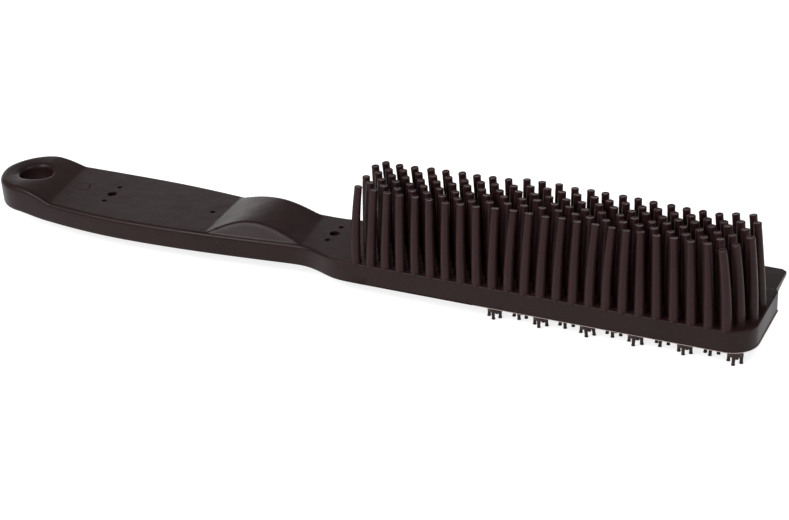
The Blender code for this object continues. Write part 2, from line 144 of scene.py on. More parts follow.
def knots(x, points):
    """Smooth curve through a few (x, value) points."""
    if x <= points[0][0]:
        return points[0][1]
    for (x0, v0), (x1, v1) in zip(points, points[1:]):
        if x <= x1:
            return v0 + (v1 - v0) * smooth((x - x0) / (x1 - x0))
    return points[-1][1]


def circle(cx, cy, r, n, turn=0.0):
    angles = [turn + 2 * math.pi * i / n for i in range(n)]
    return [(cx + r * math.cos(a), cy + r * math.sin(a)) for a in angles]


def arc(cx, cy, r, start, stop, steps):
    angles = [math.radians(start + (stop - start) * i / steps) for i in range(steps + 1)]
    return [(cx + r * math.cos(a), cy + r * math.sin(a)) for a in angles]


# ------------------------------------------------------------------ plan and heights of the moulding


def near_half(u):
    """Half width on the near side, at setback u."""
    if u > EYE_SETBACK:
        return NEAR_EYE_HALF * end_share(u)
    if u > NEAR_GRIP:
        return narrowing(u, NEAR_GRIP, NEAR_GRIP_HALF, NEAR_EYE_HALF)
    flare = (HANDLE_Y - NEAR_Y - NEAR_WAIST_HALF) * (1 - smooth(u / NEAR_FLARE))
    t = max(u - NEAR_WAIST, 0.0) / (NEAR_GRIP - NEAR_WAIST)
    return NEAR_WAIST_HALF + flare + (NEAR_GRIP_HALF - NEAR_WAIST_HALF) * math.sin(math.pi / 2 * t)


def far_half(u):
    """Half width on the far side, at setback u."""
    if u > EYE_SETBACK:
        return FAR_EYE_HALF * end_share(u)
    if u > FAR_GRIP:
        return narrowing(u, FAR_GRIP, FAR_GRIP_HALF, FAR_EYE_HALF)
    flare = (FAR_Y - HANDLE_Y - FAR_WAIST_HALF) * (1 - smooth(u / FAR_WAIST))
    t = max(u - FAR_WAIST, 0.0) / (FAR_GRIP - FAR_WAIST)
    return FAR_WAIST_HALF + flare + (FAR_GRIP_HALF - FAR_WAIST_HALF) * smooth(t)


def narrowing(u, start, start_half, end_half):
    t = (u - start) / (EYE_SETBACK - start)
    return end_half + (start_half - end_half) * math.cos(math.pi / 2 * t)


def end_share(u):
    """Share of the eye's width that is left beyond its widest place."""
    beyond = min((u - EYE_SETBACK) / EYE_RADIUS, 1.0)
    return max(1 - beyond**2, 0.0) ** EYE_END_POWER


def end_lift(u):
    """The handle's end bends up a little."""
    t = max(u - END_LIFT_SETBACK, 0.0) / (EYE_SETBACK - END_LIFT_SETBACK)
    return END_LIFT * min(t, 1.0) ** 2


def hump_profile(u, heel, crest, toe):
    if crest <= u <= heel:
        return HUMP_HEIGHT * math.sin(math.pi / 2 * (heel - u) / (heel - crest))
    if toe <= u < crest:
        return HUMP_HEIGHT * max(math.cos(math.pi / 2 * (crest - u) / (crest - toe)), 0.0)
    return 0.0


def hump(u, v):
    """Thumb hump: a crowned top between two sloped flanks."""
    near, far = near_half(u), far_half(u)
    s = min(max((v + near) / (near + far), 0.0), 1.0)
    heel, crest, toe, run = (a + (b - a) * s for a, b in (HUMP_HEEL, HUMP_CREST, HUMP_TOE, FLANK_RUN))
    height = hump_profile(u, heel, crest, toe)
    if height <= 0:
        return 0.0
    half = near if v < 0 else far
    flank = max(half - FLANK_INSET - abs(v), 0.0) / run
    return max(smooth_min(height, flank, CREASE_SOFT * smooth(height / CREASE_EASE)), 0.0)


def eye_raise(u, v):
    """The eye's extra thickness starts at a slightly askew crease; its face is dished round the hole."""
    start = EYE_SETBACK - EYE_RAMP + EYE_SKEW * v
    t = min(max((u - start) / EYE_RAMP, 0.0), 1.0)
    away = math.hypot(u - EYE_SETBACK - HOLE_SHIFT, v) - HOLE_RADIUS
    on_eye = smooth((u - EYE_SETBACK + DISH_LEAD) / DISH_EASE)
    dish = DISH_DEPTH * (1 - smooth(away / DISH_REACH)) * on_eye
    return EYE_RAISE * math.sin(math.pi / 2 * t) - dish


def mould_mark(x, y):
    """Shallow round witness line, deeper on one side."""
    dx, dy = x - MARK_X, y - MARK_Y
    if abs(math.hypot(dx, dy) - MARK_RADIUS) > MARK_HALF_WIDTH:
        return 0.0
    return -MARK_DEPTH * (0.5 + 0.5 * math.cos(math.atan2(dy, dx) - MARK_TURN))


def top_z(x, y):
    u = JOINT_X - x
    v = y - HANDLE_Y
    if u <= 0:
        return TOP_Z
    return TOP_Z + end_lift(u) + eye_raise(u, v) + hump(u, v) + mould_mark(x, y)


def bottom_z(x, _y):
    return BOTTOM_Z + end_lift(JOINT_X - x)


def top_roll(x, y):
    """Radius of the top edge: small on the head, larger on the handle's near side, a full roll at the eye."""
    u = JOINT_X - x
    on_near = smooth(0.5 + (HANDLE_Y - y) / ROLL_BLEND)
    side = FAR_ROLL + (NEAR_ROLL - FAR_ROLL) * on_near
    handle = HEAD_ROLL + (side - HEAD_ROLL) * smooth(u / ROLL_EASE)
    return handle + (EYE_ROLL - handle) * smooth((u - EYE_SETBACK + EYE_RAMP) / (EYE_RAMP * 1.1))


def low_roll(x, _y):
    """Radius of the lower edge, the same on both sides."""
    u = JOINT_X - x
    handle = (HANDLE_LOW_ROLL - HEAD_LOW_ROLL) * smooth(u / LOW_ROLL_EASE)
    eye = (EYE_LOW_ROLL - HANDLE_LOW_ROLL) * smooth((u - EYE_SETBACK + EYE_RAMP) / EYE_RAMP)
    return HEAD_LOW_ROLL + handle + eye


# ------------------------------------------------------------------ outline


def head_outline(xs):
    """The head's plan from the near side round to the far side: a full corner, then a small one."""
    points = [(x, NEAR_Y) for x in xs]
    points += arc(TIP_X - CORNER_TIP, NEAR_Y + CORNER_TIP, CORNER_TIP, -90, 0, 16)
    rise = FAR_Y - NEAR_Y - CORNER_TIP - CORNER_FAR
    points += [(TIP_X, NEAR_Y + CORNER_TIP + rise * i / END_STEPS) for i in range(1, END_STEPS)]
    points += arc(TIP_X - CORNER_FAR, FAR_Y - CORNER_FAR, CORNER_FAR, 0, 90, 6)
    return points + [(x, FAR_Y) for x in reversed(xs)]


def eye_outline():
    """The round end, from its far side to its near side."""
    points = []
    middle = EYE_STEPS // 2
    for i in range(1, EYE_STEPS):
        u = EYE_SETBACK + EYE_RADIUS * math.sin(math.pi * i / EYE_STEPS)
        side = far_half(u) if i < middle else -near_half(u)
        points.append((JOINT_X - u, HANDLE_Y + (side if i != middle else 0.0)))
    return points


def relax(points):
    """Moves each point of the handle halfway towards the middle of its neighbours."""
    eased = []
    for i, (x, y) in enumerate(points):
        if x > JOINT_X + RELAX_REACH:
            eased.append((x, y))
            continue
        ax, ay = points[i - 1]
        bx, by = points[(i + 1) % len(points)]
        eased.append((0.5 * x + 0.25 * (ax + bx), 0.5 * y + 0.25 * (ay + by)))
    return eased


def body_outline():
    """Counter-clockwise plan of handle and head, gently relaxed where two curves meet."""
    count = round(EYE_SETBACK / HANDLE_STEP)
    setbacks = [EYE_SETBACK * (1 - i / count) for i in range(count)]
    near = [(JOINT_X - u, HANDLE_Y - near_half(u)) for u in setbacks]
    far = [(JOINT_X - u, HANDLE_Y + far_half(u)) for u in reversed(setbacks)]
    straight = TIP_X - CORNER_TIP - JOINT_X
    steps = round(straight / HEAD_STEP)
    head = head_outline([JOINT_X + straight * i / steps for i in range(steps)])
    points = near + head + far + eye_outline()
    for _ in range(RELAX_PASSES):
        points = relax(points)
    return points


def inset(points, distance):
    """Moves each point of a closed counter-clockwise line inwards, by distance(x, y)."""
    moved = []
    for i, (x, y) in enumerate(points):
        ax, ay = points[i - 1]
        bx, by = points[(i + 1) % len(points)]
        tx, ty = bx - ax, by - ay
        size = math.hypot(tx, ty)
        d = distance(x, y)
        moved.append((x - ty / size * d, y + tx / size * d))
    return moved


def inside(px, py, loop):
    hit = False
    for (ax, ay), (bx, by) in zip(loop, loop[1:] + loop[:1]):
        if (ay > py) != (by > py) and px < (bx - ax) * (py - ay) / (by - ay) + ax:
            hit = not hit
    return hit


class Cells:
    """Nearest distance to a set of points, up to the cell size."""

    def __init__(self, points, size):
        self.size = size
        self.cells = {}
        for p in points:
            self.cells.setdefault(self.key(*p), []).append(p)

    def key(self, x, y):
        return (math.floor(x / self.size), math.floor(y / self.size))

    def distance(self, x, y):
        kx, ky = self.key(x, y)
        best = self.size
        for i in (-1, 0, 1):
            for j in (-1, 0, 1):
                for px, py in self.cells.get((kx + i, ky + j), ()):
                    best = min(best, math.hypot(px - x, py - y))
        return best


def grid_points(outer, holes, spacing_at, keep_off):
    """Points of a staggered grid inside outer, clear of the outline and of the holes."""
    xs = [p[0] for p in outer]
    ys = [p[1] for p in outer]
    x, column, found = min(xs), 0, []
    edge = Cells(outer, 0.004)
    while x < max(xs):
        s = spacing_at(x)
        y = min(ys) + (s / 2 if column % 2 else 0.0)
        while y < max(ys):
            clear = all(math.hypot(x - hx, y - hy) > r + s * 0.6 for hx, hy, r in holes)
            if clear and inside(x, y, outer) and edge.distance(x, y) > s * keep_off:
                found.append((x, y))
            y += s
        x += s * 0.87
        column += 1
    return found


# ------------------------------------------------------------------ skins


class Skin:
    """A bmesh under construction."""

    def __init__(self):
        self.bm = bmesh.new()

    def loop(self, points, z):
        """Vertices over the points of a line, at height z(x, y)."""
        return [self.bm.verts.new((x, y, z(x, y))) for x, y in points]

    def bridge(self, a, b):
        n = len(a)
        for i in range(n):
            j = (i + 1) % n
            self.bm.faces.new((a[i], a[j], b[j], b[i]))

    def cap(self, outer, inner_loops, extra, z):
        """Triangulates the area between a loop of vertices and the loops of its holes."""
        loops = [outer, *inner_loops]
        verts, edges = [], []
        for ring in loops:
            first = len(verts)
            verts += ring
            edges += [(first + i, first + (i + 1) % len(ring)) for i in range(len(ring))]
        verts += self.loop(extra, z)
        flat = [Vector((v.co.x * 1000, v.co.y * 1000)) for v in verts]
        _, _, faces, origin, _, _ = delaunay_2d_cdt(flat, edges, [], 0, 1e-6)
        outer_shape, *hole_shapes = [plan_of(ring) for ring in loops]
        for face in faces:
            corners = [verts[origin[i][0]] for i in face]
            cx = sum(v.co.x for v in corners) / len(corners)
            cy = sum(v.co.y for v in corners) / len(corners)
            in_hole = any(inside(cx, cy, shape) for shape in hole_shapes)
            if inside(cx, cy, outer_shape) and not in_hole:
                self.bm.faces.new(corners)

    def turned(self, x, y, profile, sides, turn=0.0, lean=(0.0, 0.0)):
        """Closed turned solid, leaning in proportion to its depth below the first level."""
        rings = []
        first_z = profile[0][1]
        for r, z in profile:
            depth = first_z - z
            ring = circle(x + lean[0] * depth, y + lean[1] * depth, r, sides, turn)
            rings.append(self.loop(ring, level(z)))
        for a, b in zip(rings, rings[1:]):
            self.bridge(a, b)
        self.bm.faces.new(rings[0])
        self.bm.faces.new(rings[-1])

    def finish(self, name, sharp):
        bmesh.ops.recalc_face_normals(self.bm, faces=self.bm.faces)
        mesh = bpy.data.meshes.new(name)
        self.bm.to_mesh(mesh)
        self.bm.free()
        mesh.shade_smooth()
        mesh.set_sharp_from_angle(angle=math.radians(sharp))
        item = bpy.data.objects.new(name, mesh)
        bpy.context.scene.collection.objects.link(item)
        return item


def level(z):
    """A height that is the same everywhere."""
    return lambda _x, _y: z


def plan_of(ring):
    return [(v.co.x, v.co.y) for v in ring]


# ------------------------------------------------------------------ moulded body


def roll_rings(skin, outline, radius, z_at, sign, steps):
    """Rings that roll from the side wall over on to the face: returns them wall first."""
    rings = []
    for i in range(steps + 1):
        a = math.pi / 2 * i / steps
        ring = inset(outline, lambda x, y, a=a: radius(x, y) * (1 - math.cos(a)))
        drop = 1 - math.sin(a)
        rings.append(skin.loop(ring, lambda x, y, d=drop: z_at(x, y) - sign * radius(x, y) * d))
    return rings


def add_lip(skin, outline, wall):
    """Thin moulding lip that stands out from the head's lower edge: returns its upper line."""
    for out, rise in LIP_LINES:
        line = inset(outline, lambda x, _y, k=out: -k * smooth((x - JOINT_X) / LIP_EASE))
        lip = skin.loop(line, lambda x, y, k=rise: bottom_z(x, y) + low_roll(x, y) + k)
        skin.bridge(wall, lip)
        wall = lip
    return wall


def add_walls(skin):
    """Side wall with its lip and rolled edges: returns the rims left open above and below."""
    outline = body_outline()
    top_rings = roll_rings(skin, outline, top_roll, top_z, 1, 8)
    low_rings = roll_rings(skin, outline, low_roll, bottom_z, -1, 3)
    middle = skin.loop(outline, lambda x, y: (top_z(x, y) + bottom_z(x, y)) / 2)
    skin.bridge(add_lip(skin, outline, low_rings[0]), middle)
    skin.bridge(middle, top_rings[0])
    for a, b in zip(top_rings, top_rings[1:]):
        skin.bridge(a, b)
    for a, b in zip(low_rings, low_rings[1:]):
        skin.bridge(b, a)
    return top_rings[-1], low_rings[-1]


def flare_rings(skin, flare, z_at, sign, shares):
    """Rings of the hanging hole where it opens out on to a face."""
    rings = []
    for share in shares:
        a = math.pi / 2 * share
        ring = circle(HOLE_X, HANDLE_Y, HOLE_RADIUS + flare * (1 - math.sin(a)), HOLE_SIDES)
        rings.append(skin.loop(ring, lambda x, y, a=a: z_at(x, y) - sign * flare * (1 - math.cos(a))))
    return rings


def add_hang_hole(skin):
    """Hole with a wide flare above and a small one below: returns its top and bottom rings."""
    rings = flare_rings(skin, FLARE_TOP, top_z, 1, [i / 6 for i in range(7)])
    rings += flare_rings(skin, FLARE_LOW, bottom_z, -1, [1 - i / 4 for i in range(5)])
    for a, b in zip(rings, rings[1:]):
        skin.bridge(b, a)
    return rings[0], rings[-1]


def locating_holes():
    """Centre and radius of each locating hole."""
    holes = []
    for setback, spread, skew in HOLE_GROUPS:
        holes.append((JOINT_X - setback, HANDLE_Y, LARGE_HOLE))
        holes.append((JOINT_X - setback + skew, HANDLE_Y - spread, SMALL_HOLE))
        holes.append((JOINT_X - setback - skew, HANDLE_Y + spread, SMALL_HOLE))
    holes.append((JOINT_X - SINGLE_SETBACK, HANDLE_Y, SMALL_HOLE))
    return holes


def add_post(skin, x, y):
    """Blunt post of the core that stands in a large locating hole."""
    foot_z, head_z = CORE_HIGH.z + 0.00003, top_z(x, y) - POST_DROP
    foot = (POST_RADIUS + 0.00005, foot_z)
    skin.turned(x, y, (foot, (POST_RADIUS, head_z - POST_EDGE), (POST_RADIUS - POST_EDGE, head_z)), 20)


def add_locating_holes(skin, ceiling_z):
    """Holes from the top down to the core's pocket: returns their loops at both ends."""
    top_loops, ceiling_loops = [], []
    for x, y, radius in locating_holes():
        sides = 28 if radius == LARGE_HOLE else 20
        stack = []
        for wider, depth in HOLE_LINES:
            ring = circle(x, y, radius + wider, sides)
            stack.append(skin.loop(ring, lambda px, py, d=depth: top_z(px, py) - d))
        stack.append(skin.loop(circle(x, y, radius, sides), level(ceiling_z)))
        for a, b in zip(stack, stack[1:]):
            skin.bridge(b, a)
        top_loops.append(stack[0])
        ceiling_loops.append(stack[-1])
        if radius == LARGE_HOLE:
            add_post(skin, x, y)
    return top_loops, ceiling_loops


def top_spacing(x):
    """Grid spacing over the top: wide on the flat head, fine on the hump and the eye."""
    u = JOINT_X - x
    if u < -0.001:
        return HEAD_GRID
    if FINE_HUMP[0] < u < FINE_HUMP[1] or u > FINE_EYE:
        return FINE_GRID
    return PLAIN_GRID


def top_points(rim):
    """Points inside the top face: a grid, and the rings that carry the witness line."""
    keep_clear = [(x, y, radius + HOLE_MARGIN) for x, y, radius in locating_holes()]
    keep_clear.append((MARK_X, MARK_Y, MARK_RADIUS + HOLE_MARGIN))
    keep_clear.append((HOLE_X, HANDLE_Y, HOLE_RADIUS + FLARE_TOP))
    points = grid_points(rim, keep_clear, top_spacing, 0.55)
    for step in MARK_STEPS:
        points += circle(MARK_X, MARK_Y, MARK_RADIUS + step, 48)
    return points


def low_points(rim):
    """Points inside the underside, which only has to follow the lift of the end."""
    return grid_points(rim, [(HOLE_X, HANDLE_Y, HOLE_RADIUS + FLARE_TOP)], lambda _x: LOW_GRID, 0.6)


def add_pocket(skin, ceiling_loops, ceiling_z):
    """Pocket round the core, open to the locating holes."""
    low_x, low_y = CORE_LOW.x - CORE_GAP, CORE_LOW.y - CORE_GAP
    high_x, high_y = CORE_HIGH.x + CORE_GAP, CORE_HIGH.y + CORE_GAP
    corners = [(low_x, low_y), (high_x, low_y), (high_x, high_y), (low_x, high_y)]
    ceiling = skin.loop(corners, level(ceiling_z))
    floor = skin.loop(corners, level(CORE_LOW.z - CORE_GAP))
    skin.bridge(floor, ceiling)
    skin.cap(ceiling, ceiling_loops, [], level(ceiling_z))
    skin.bm.faces.new(floor)


def make_body():
    """The one-piece moulding: handle, hump, hanging eye and head plate, with the pocket for its core."""
    skin = Skin()
    rim_top, rim_low = add_walls(skin)
    inner_plan = inset(plan_of(rim_top), lambda _x, _y: RIM_WIDTH)
    guard = skin.loop(inner_plan, top_z)
    skin.bridge(rim_top, guard)
    hole_top, hole_low = add_hang_hole(skin)
    ceiling_z = CORE_HIGH.z + CORE_GAP
    top_loops, ceiling_loops = add_locating_holes(skin, ceiling_z)
    skin.cap(guard, [hole_top, *top_loops], top_points(inner_plan), top_z)
    skin.cap(rim_low, [hole_low], low_points(plan_of(rim_low)), bottom_z)
    add_pocket(skin, ceiling_loops, ceiling_z)
    return skin.finish("moulded_body", 50)


# ------------------------------------------------------------------ pins

PIN_PITCH, PIN_SIDES = 0.0051, 16
PIN_BASE, PIN_TIP = 0.00162, 0.00119
RIB_HALF = 0.00165
SHAFT_LEVELS, TIP_DIMPLE = 9, 0.00014

# Foot: height above the plate and extra radius of each ring. Tip: depth below the end and extra radius
FOOT_TOP = 0.0008
FOOT_RINGS = ((-0.0003, 0.0003), (0.0, 0.00026), (0.00012, 0.00013), (0.00035, 0.00004), (FOOT_TOP, 0.0))
TIP_SIDE = ((0.0009, 0.0), (0.0005, 0.00003), (0.0002, 0.00004))
TIP_EDGE = ((0.00005, -0.00004), (0.0, -0.0002), (0.00004, -0.00034))

# How far tips stand off their feet in mm, along the nearest row and the furthest
NEAR_LEAN_X = ((0, 1.7), (0.2, 0.7), (0.33, 0.1), (0.42, 0.9), (0.7, 0.9), (0.82, -0.9), (1, -1.4))
FAR_LEAN_X = ((0, -1.0), (0.3, -0.6), (0.6, -0.4), (0.85, -0.6), (1, -2.7))
NEAR_LEAN_Y = ((0, 2.2), (0.15, 0.8), (0.28, 0.8), (0.5, 2.9), (0.75, 2.1), (0.95, 1.2), (1, -0.9))
FAR_LEAN_Y = ((0, -1.0), (0.3, -0.3), (0.42, 2.5), (0.6, 1.2), (0.8, -0.8), (0.9, -1.2), (1, 2.4))


def pin_lean(row, index, count, rng):
    """How far a pin's tip stands off its base: the set that rubber takes in the mould and in use."""
    t = index / (count - 1)
    s = row / 5
    x = knots(t, NEAR_LEAN_X) * (1 - s) + knots(t, FAR_LEAN_X) * s
    y = knots(t, NEAR_LEAN_Y) * (1 - s) + knots(t, FAR_LEAN_Y) * s
    return Vector((x + rng.uniform(-0.3, 0.3), y + rng.uniform(-0.35, 0.35))) / 1000


def pin_rings(length, tip):
    """Height and radius of each ring of a pin: filleted foot, tapered shaft, rolled tip."""
    rings = [(h, PIN_BASE + wider) for h, wider in FOOT_RINGS]
    for i in range(1, SHAFT_LEVELS):
        t = i / SHAFT_LEVELS
        rings.append((length * t, PIN_BASE + (tip - PIN_BASE) * t))
    return rings + [(length - below, tip + wider) for below, wider in TIP_SIDE + TIP_EDGE]


def add_pin(skin, base, lean, length, rng):
    """One tapered pin: filleted foot, gently bowed shaft, slightly dimpled tip with a rolled edge."""
    twist = rng.uniform(0, math.pi)
    bow = rng.uniform(1.15, 1.9)
    tip = PIN_TIP * rng.uniform(0.97, 1.04)
    rise = math.sqrt(length**2 - lean.length_squared)

    def centre(t):
        t = max(t, 0.0)
        return base + Vector((lean.x * t**bow, lean.y * t**bow, rise * t))

    rings = []
    for h, r in pin_rings(length, tip):
        t = h / length
        middle = centre(t) if t >= 0 else base + Vector((0, 0, h))
        axis = (centre(t + 0.02) - centre(t - 0.02)).normalized()
        if h <= FOOT_TOP:
            axis = Vector((0, 0, 1))
        side = axis.cross(Vector((0, 1, 0))).normalized()
        other = axis.cross(side)
        angles = [twist + 2 * math.pi * k / PIN_SIDES for k in range(PIN_SIDES)]
        spokes = [(side * math.cos(a) + other * math.sin(a)) * r for a in angles]
        rings.append([skin.bm.verts.new(middle + spoke) for spoke in spokes])
    for a, b in zip(rings, rings[1:]):
        skin.bridge(a, b)
    skin.bm.faces.new(rings[0])
    dimple = skin.bm.verts.new(centre(1.0) - Vector((0, 0, TIP_DIMPLE)))
    for k in range(PIN_SIDES):
        skin.bm.faces.new((rings[-1][k], rings[-1][(k + 1) % PIN_SIDES], dimple))


def make_pin_row(row):
    """A row of pins, as many as fit on its rib."""
    low, high = ROW_BOXES[row]
    first = low.x + RIB_HALF
    y = (low.y + high.y) / 2
    count = round((high.x - low.x - 2 * RIB_HALF) / PIN_PITCH) + 1
    rng = random.Random(100 + row)
    skin = Skin()
    for i in range(count):
        base = Vector((first + i * PIN_PITCH, y, TOP_Z))
        lean = pin_lean(row, i, count, rng)
        length = (high.z - TOP_Z) * rng.uniform(0.99, 1.004)
        add_pin(skin, base, lean, length, rng)
    item = skin.finish(f"pins_row_{row + 1}", 60)
    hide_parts(f"pin_row_{row + 1}")
    return item


# ------------------------------------------------------------------ blade

BLADE_ROOT, BLADE_EDGE, BLADE_OVERLAP, BLADE_SINK = 0.0028, 0.0011, 0.0006, 0.00005
HEEL_CORNER, TIP_CORNER = 0.008, 0.0012
BLADE_WAVE, BLADE_WAVES, BLADE_SAG = 0.00035, 9.0, 0.0004
BLADE_ALONG, BLADE_ACROSS = 80, 12


def corner_cut(distance, radius):
    """How far a round corner holds the free edge back, at a distance from the blade's end."""
    if distance >= radius:
        return 0.0
    return radius - math.sqrt(max(radius**2 - (radius - distance) ** 2, 1e-9))


def blade_section(s, x, reach):
    """Closed section across the blade at x: out over its top, back along its underside."""
    root_y = FAR_Y - BLADE_OVERLAP
    over, under = [], []
    for k in range(BLADE_ACROSS + 1):
        y = root_y + (reach - root_y) * k / BLADE_ACROSS
        t = (y - root_y) / (BLADE_HIGH.y - root_y)
        thick = BLADE_ROOT + (BLADE_EDGE - BLADE_ROOT) * t
        sag = BLADE_WAVE * t**2 * math.sin(s * BLADE_WAVES) - BLADE_SAG * t**2
        over.append((x, y, TOP_Z - BLADE_SINK + sag))
        under.append((x, y, TOP_Z - thick + sag))
    return over + under[::-1]


def soften(item):
    """Breaks the blade's sharp edges with a small bevel."""
    bevel = item.modifiers.new("edge", "BEVEL")
    bevel.width = 0.00018
    bevel.segments = 3
    bevel.limit_method = "ANGLE"
    bevel.angle_limit = math.radians(50)


def make_blade():
    """Scraper flap: thick where it grows out of the plate, thin and a little wavy at its free edge."""
    heel_x, tip_x = BLADE_LOW.x, BLADE_HIGH.x
    skin = Skin()
    rings = []
    for i in range(BLADE_ALONG + 1):
        s = i / BLADE_ALONG
        x = heel_x + (tip_x - heel_x) * s
        reach = BLADE_HIGH.y - corner_cut(x - heel_x, HEEL_CORNER) - corner_cut(tip_x - x, TIP_CORNER)
        rings.append([skin.bm.verts.new(p) for p in blade_section(s, x, reach)])
    for a, b in zip(rings, rings[1:]):
        skin.bridge(a, b)
    skin.bm.faces.new(rings[0])
    skin.bm.faces.new(rings[-1])
    item = skin.finish("scraper_flap", 35)
    soften(item)
    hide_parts("scraper_blade")
    return item


# ------------------------------------------------------------------ studs

# Radius and height of the block's rings, measured from the plate and then from the block's face
BLOCK_HEIGHT = 0.0017
BLOCK_ROOT = ((0.0026, 0.0003), (0.0025, 0.0), (0.0023, -0.0003))
BLOCK_FACE = ((0.00224, 0.0003), (0.00212, 0.00008), (0.0018, 0.0))

# Radius and height of a prong's rings: from the block's face, then above the ground, then of its cupped foot
PRONG_ROOT = ((0.00064, 0.0005), (0.00062, 0.00004), (0.00056, -0.0003))
PRONG_SHAFT = ((0.00050, 0.0012), (0.00050, 0.0007), (0.00055, 0.00040), (0.00061, 0.00022))
PRONG_FOOT = ((0.00062, 0.00008), (0.00054, 0.0), (0.00038, 0.00004), (0.00018, 0.00012))
PRONG_PLACES = ((0.0019, 0), (-0.0019, 0), (0, 0.0016), (0, -0.0016))
PRONG_INSET, PRONG_SPLAY, PRONG_STRAY, PRONG_SHORT = 0.92, 0.07, 0.09, 0.0002


def raised(profile, z):
    return tuple((radius, height + z) for radius, height in profile)


def add_prong(skin, x, y, place, rng):
    """One splayed prong; some end a hair higher than others."""
    dx, dy = place
    size = math.hypot(dx, dy)
    lean = (
        PRONG_SPLAY * dx / size + rng.uniform(-PRONG_STRAY, PRONG_STRAY),
        PRONG_SPLAY * dy / size + rng.uniform(-PRONG_STRAY, PRONG_STRAY),
    )
    short = rng.uniform(0.0, PRONG_SHORT)
    profile = raised(PRONG_ROOT, BOTTOM_Z - BLOCK_HEIGHT) + PRONG_SHAFT + raised(PRONG_FOOT, short)
    skin.turned(x + dx * PRONG_INSET, y + dy * PRONG_INSET, profile, 12, rng.uniform(0, 1), lean)


def make_nub(node, rng):
    """Round stud with four prongs that end in small cupped feet."""
    low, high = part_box(node)
    x, y = (low.x + high.x) / 2, (low.y + high.y) / 2
    skin = Skin()
    block = raised(BLOCK_ROOT, BOTTOM_Z) + raised(BLOCK_FACE, BOTTOM_Z - BLOCK_HEIGHT)
    skin.turned(x, y, block, 20, rng.uniform(0, 1))
    for place in PRONG_PLACES:
        add_prong(skin, x, y, place, rng)
    item = skin.finish(node.replace("nub_cluster", "stud"), 60)
    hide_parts(node)
    return item


# ------------------------------------------------------------------ materials

# Dark and light tone of each rubber, of the dust on it, of the painted highlight on the lip, of the core and
# of the paper
BODY_TONES = ((0.0112, 0.0041, 0.0042), (0.0175, 0.0071, 0.0072))
PIN_TONES = ((0.0185, 0.0062, 0.0066), (0.0262, 0.0100, 0.0103))
STUD_TONES = ((0.0190, 0.0085, 0.0078), (0.0280, 0.0150, 0.0130))
DUST_TONE, LIP_HIGHLIGHT_TONE = (0.16, 0.13, 0.12), (0.36, 0.29, 0.28)
CORE_TONES = ((0.06, 0.05, 0.05), (0.11, 0.10, 0.10))
PAPER_TONES = ((0.44, 0.44, 0.44), (0.48, 0.48, 0.48))
PAPER_GLOW, RUBBER_SHEEN, PAPER_SHEEN = 0.82, 0.14, 0.1

# A painted highlight runs as a thin pale band on the lip above the underside, from here to the tip
LIP_HIGHLIGHT_FROM, LIP_HIGHLIGHT_HEIGHT, LIP_HIGHLIGHT_HALF = 0.045, 0.00031, 0.00008


class Paint:
    """A node material under construction."""

    def __init__(self, name):
        self.material = bpy.data.materials.new(name)
        self.material.use_nodes = True
        self.nodes = self.material.node_tree.nodes
        self.links = self.material.node_tree.links
        self.shader = self.nodes["Principled BSDF"]
        self.place = self.nodes.new("ShaderNodeTexCoord").outputs["Object"]

    def give(self, name, output):
        self.links.new(output, self.shader.inputs[name])

    def noise(self, scale, detail=2.0, roughness=0.5):
        node = self.nodes.new("ShaderNodeTexNoise")
        node.inputs["Scale"].default_value = scale
        node.inputs["Detail"].default_value = detail
        node.inputs["Roughness"].default_value = roughness
        self.links.new(self.place, node.inputs["Vector"])
        return node.outputs["Fac"]

    def ramp(self, factor, tones, start=0.0, end=1.0):
        """Colour that goes from a dark to a light tone between two values of a factor."""
        node = self.nodes.new("ShaderNodeValToRGB")
        for stop, position, tone in zip(node.color_ramp.elements, (start, end), tones):
            stop.position = position
            stop.color = (*tone, 1)
        self.links.new(factor, node.inputs["Fac"])
        return node.outputs["Color"]

    def rescale(self, factor, source, target):
        node = self.nodes.new("ShaderNodeMapRange")
        node.inputs["From Min"].default_value = source[0]
        node.inputs["From Max"].default_value = source[1]
        node.inputs["To Min"].default_value = target[0]
        node.inputs["To Max"].default_value = target[1]
        self.links.new(factor, node.inputs["Value"])
        return node.outputs["Result"]

    def cover(self, factor, under, tone):
        """Lays a tone over a colour, by a factor."""
        node = self.nodes.new("ShaderNodeMix")
        node.data_type = "RGBA"
        node.inputs["B"].default_value = (*tone, 1)
        self.links.new(factor, node.inputs["Factor"])
        self.links.new(under, node.inputs["A"])
        return node.outputs["Result"]

    def compute(self, operation, first, *numbers):
        node = self.nodes.new("ShaderNodeMath")
        node.operation = operation
        self.links.new(first, node.inputs[0])
        for socket, number in zip(node.inputs[1:], numbers):
            socket.default_value = number
        return node

    def bump(self, height, strength, distance):
        node = self.nodes.new("ShaderNodeBump")
        node.inputs["Strength"].default_value = strength
        node.inputs["Distance"].default_value = distance
        self.links.new(height, node.inputs["Height"])
        return node

    def painted_lip_highlight(self):
        """1 on the stretch of the lip along the head's lower edge that carries the painted highlight, 0
        elsewhere.
        """
        where = self.nodes.new("ShaderNodeSeparateXYZ")
        self.links.new(self.place, where.inputs["Vector"])
        at_lip = self.compute("COMPARE", where.outputs["Z"], BOTTOM_Z + LIP_HIGHLIGHT_HEIGHT, LIP_HIGHLIGHT_HALF)
        on_head = self.compute("GREATER_THAN", where.outputs["X"], JOINT_X + LIP_HIGHLIGHT_FROM)
        both = self.compute("MULTIPLY", at_lip.outputs["Value"])
        self.links.new(on_head.outputs["Value"], both.inputs[1])
        return both.outputs["Value"]

    def relief(self, strength):
        """Fine moulded grain over a wider ripple."""
        fine = self.bump(self.noise(2600, 3), strength, 0.00006)
        wide = self.bump(self.noise(160), strength, 0.00035)
        self.links.new(fine.outputs["Normal"], wide.inputs["Normal"])
        return wide.outputs["Normal"]


